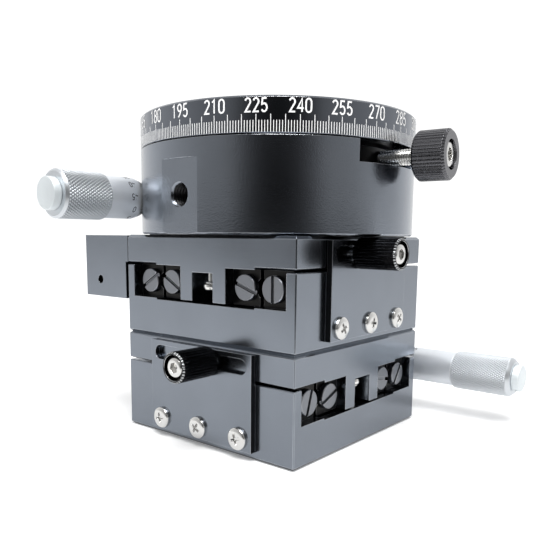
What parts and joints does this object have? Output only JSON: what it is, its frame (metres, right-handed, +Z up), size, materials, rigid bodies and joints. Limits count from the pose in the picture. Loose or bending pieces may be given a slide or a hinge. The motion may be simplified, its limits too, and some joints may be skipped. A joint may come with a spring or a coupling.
{
  "type": "xy rotation stage",
  "caption": "Manual bench positioner: two crossed linear stages moved by micrometers, with a clampable rotation stage and graduated dial on top.",
  "frame": {"origin": "middle of the base's bottom face, both linear stages at mid travel and the dial as pictured", "axes": "+Z up along the rotation axis; +X is the lower stage's travel and the way its micrometer points; +Y is the upper stage's travel"},
  "size_m": [0.1081, 0.1145, 0.0858],
  "materials": {
    "black_anodised": "blasted, black anodised",
    "grey_anodised": "grey anodised, straight knurl",
    "dark_steel": "ground and hardened",
    "satin_chrome": "satin chrome",
    "bright_steel": "bright steel"
  },
  "bodies": {
    "base": {"x_base": "black_anodised", "x_outer_rails": "dark_steel", "x_outer_stop_screws": "dark_steel", "x_clamp_plate": "black_anodised", "x_clamp_plate_screws": "bright_steel", "x_bracket": "black_anodised", "x_sleeve": "satin_chrome", "x_base_cap_screws": "dark_steel", "x_base_spring_pin": "bright_steel", "x_return_spring": "bright_steel"},
    "middle": {"x_table": "black_anodised", "x_inner_rails": "dark_steel", "x_inner_stop_screws": "dark_steel", "x_anvil_block": "black_anodised", "x_table_cap_screws": "dark_steel", "middle_spring_pins": "bright_steel", "stack_screws": "dark_steel", "y_base": "black_anodised", "y_outer_rails": "dark_steel", "y_outer_stop_screws": "dark_steel", "y_clamp_plate": "black_anodised", "y_clamp_plate_screws": "bright_steel", "y_bracket": "black_anodised", "y_sleeve": "satin_chrome", "y_return_spring": "bright_steel"},
    "top": {"y_table": "black_anodised", "y_inner_rails": "dark_steel", "y_inner_stop_screws": "dark_steel", "y_anvil_block": "black_anodised", "y_table_cap_screws": "dark_steel", "y_table_spring_pin": "bright_steel", "r_body": "black_anodised", "r_mount_screws": "dark_steel", "r_race_ring": "dark_steel", "r_sleeve": "satin_chrome", "r_plunger_housing": "satin_chrome", "r_plunger_spring": "bright_steel"},
    "x_cages": {"x_roller_cages": "bright_steel", "x_rollers": "bright_steel"},
    "y_cages": {"y_roller_cages": "bright_steel", "y_rollers": "bright_steel"},
    "x_feed": {"x_spindle": "bright_steel"},
    "y_feed": {"y_spindle": "bright_steel"},
    "r_feed": {"r_spindle": "bright_steel"},
    "x_drum": {"x_thimble": "satin_chrome", "x_end_cap": "satin_chrome"},
    "y_drum": {"y_thimble": "satin_chrome", "y_end_cap": "satin_chrome"},
    "r_drum": {"r_thimble": "satin_chrome", "r_end_cap": "satin_chrome"},
    "x_clamp": {"x_clamp_knob": "black_anodised", "x_clamp_screw": "bright_steel"},
    "y_clamp": {"y_clamp_knob": "black_anodised", "y_clamp_screw": "bright_steel"},
    "r_clamp": {"r_clamp_knob": "grey_anodised", "r_clamp_screw": "bright_steel"},
    "ring": {"r_clamp_ring": "dark_steel"},
    "dial": {"r_dial": "black_anodised"},
    "bearing": {"r_rollers": "bright_steel"},
    "plunger": {"r_plunger_pin": "bright_steel"}
  },
  "joints": [
    {"name": "x_thimble_turn", "type": "hinge", "parent": "x_feed", "child": "x_drum", "pos_m": [0.0556, 0.0431, 0.0142], "axis": [1, 0, 0], "range_deg": [-4680, 4680]},
    {"name": "x_table_slide", "type": "slide", "parent": "base", "child": "middle", "axis": [1, 0, 0], "range_m": [-0.0065, 0.0065], "deforming": ["x_return_spring"]},
    {"name": "x_spindle_feed", "type": "slide", "parent": "base", "child": "x_feed", "axis": [1, 0, 0], "range_m": [-0.0065, 0.0065]},
    {"name": "x_cage_slide", "type": "slide", "parent": "base", "child": "x_cages", "axis": [1, 0, 0], "range_m": [-0.00325, 0.00325]},
    {"name": "x_clamp_turn", "type": "hinge", "parent": "middle", "child": "x_clamp", "pos_m": [0.0038, -0.0319, 0.0233], "axis": [0, -1, 0], "range_deg": [0, 180]},
    {"name": "y_thimble_turn", "type": "hinge", "parent": "y_feed", "child": "y_drum", "pos_m": [-0.0431, 0.0556, 0.0416], "axis": [0, 1, 0], "range_deg": [-4680, 4680]},
    {"name": "y_table_slide", "type": "slide", "parent": "middle", "child": "top", "axis": [0, 1, 0], "range_m": [-0.0065, 0.0065], "deforming": ["y_return_spring"]},
    {"name": "y_spindle_feed", "type": "slide", "parent": "middle", "child": "y_feed", "axis": [0, 1, 0], "range_m": [-0.0065, 0.0065]},
    {"name": "y_cage_slide", "type": "slide", "parent": "middle", "child": "y_cages", "axis": [0, 1, 0], "range_m": [-0.00325, 0.00325]},
    {"name": "y_clamp_turn", "type": "hinge", "parent": "top", "child": "y_clamp", "pos_m": [0.0319, -0.0063, 0.0507], "axis": [1, 0, 0], "range_deg": [0, 180]},
    {"name": "r_thimble_turn", "type": "hinge", "parent": "r_feed", "child": "r_drum", "pos_m": [-0.0275, -0.0543, 0.0647], "axis": [0, 1, 0], "range_deg": [-1728, 1728]},
    {"name": "r_spindle_feed", "type": "slide", "parent": "top", "child": "r_feed", "axis": [0, 1, 0], "range_m": [-0.0024, 0.0024]},
    {"name": "r_fine_turn", "type": "hinge", "parent": "top", "child": "ring", "pos_m": [0, 0, 0.0743], "axis": [0, 0, 1], "range_deg": [-5, 5]},
    {"name": "r_plunger_slide", "type": "slide", "parent": "top", "child": "plunger", "axis": [0, 1, 0], "range_m": [-0.0024, 0.0024], "deforming": ["r_plunger_spring"]},
    {"name": "r_dial_turn", "type": "hinge", "parent": "ring", "child": "dial", "pos_m": [0, 0, 0.0776], "axis": [0, 0, 1], "continuous": true},
    {"name": "r_bearing_turn", "type": "hinge", "parent": "top", "child": "bearing", "pos_m": [0, 0, 0.06525], "axis": [0, 0, 1], "continuous": true},
    {"name": "r_clamp_turn", "type": "hinge", "parent": "ring", "child": "r_clamp", "pos_m": [0.04224, 0.00369, 0.0745], "axis": [0.9962, 0.0872, 0], "range_deg": [0, 180]}
  ],
  "couplings": [
    {"joint": "x_thimble_turn", "follows": "x_table_slide", "rad_per_m": 12566},
    {"joint": "x_spindle_feed", "follows": "x_table_slide", "ratio": 1},
    {"joint": "x_cage_slide", "follows": "x_table_slide", "ratio": 0.5},
    {"joint": "y_thimble_turn", "follows": "y_table_slide", "rad_per_m": 12566},
    {"joint": "y_spindle_feed", "follows": "y_table_slide", "ratio": 1},
    {"joint": "y_cage_slide", "follows": "y_table_slide", "ratio": 0.5},
    {"joint": "r_thimble_turn", "follows": "r_spindle_feed", "rad_per_m": 12566},
    {"joint": "r_plunger_slide", "follows": "r_spindle_feed", "ratio": 1},
    {"joint": "r_fine_turn", "follows": "r_spindle_feed", "rad_per_m": -36.36},
    {"joint": "r_bearing_turn", "follows": "r_dial_turn", "ratio": 0.4546}
  ]
}
